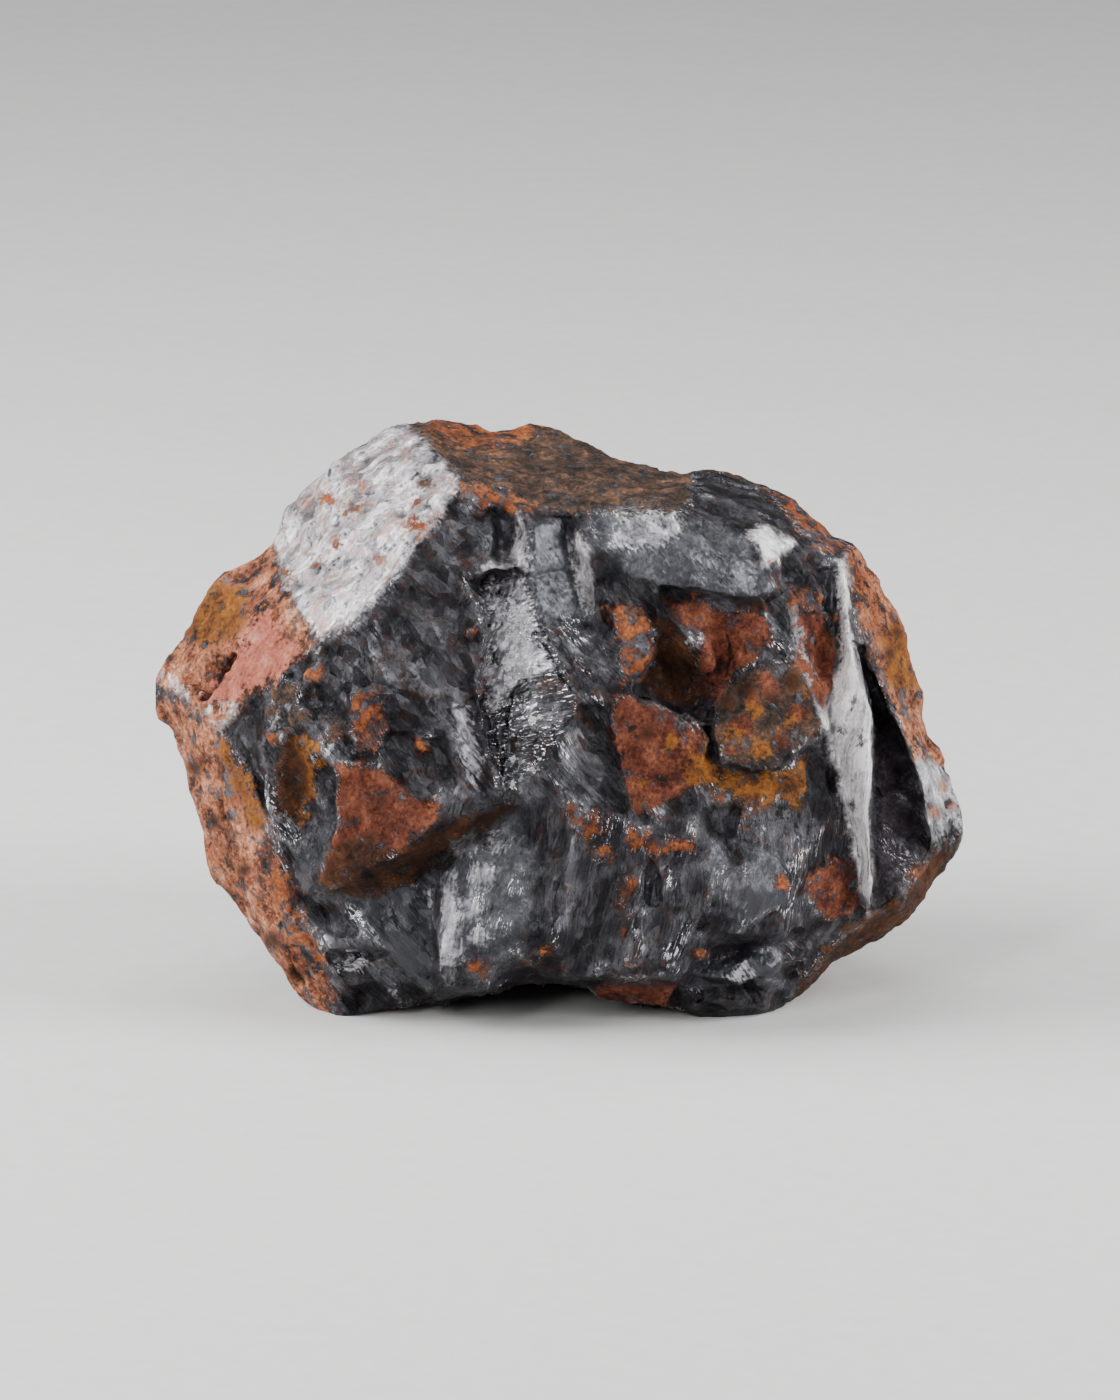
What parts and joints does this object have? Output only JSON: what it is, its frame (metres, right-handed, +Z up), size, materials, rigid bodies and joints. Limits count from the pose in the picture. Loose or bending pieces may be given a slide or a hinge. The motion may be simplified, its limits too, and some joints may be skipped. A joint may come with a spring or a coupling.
{
  "type": "hematite iron ore lump",
  "caption": "Rough, broken lump of iron ore with flat cleaved faces, ledges, an overhang, a rusty hollow and a flat underside to rest on.",
  "frame": {"origin": "centre of the lump's box at its underside", "axes": "+X along the lump's width, to the right as seen from the front, +Y towards the back, +Z up"},
  "size_m": [0.1212, 0.081, 0.0831],
  "materials": {
    "hematite": "rough, metallic grey with rust stains"
  },
  "bodies": {
    "root": {"ore_lump": "hematite"}
  },
  "joints": []
}
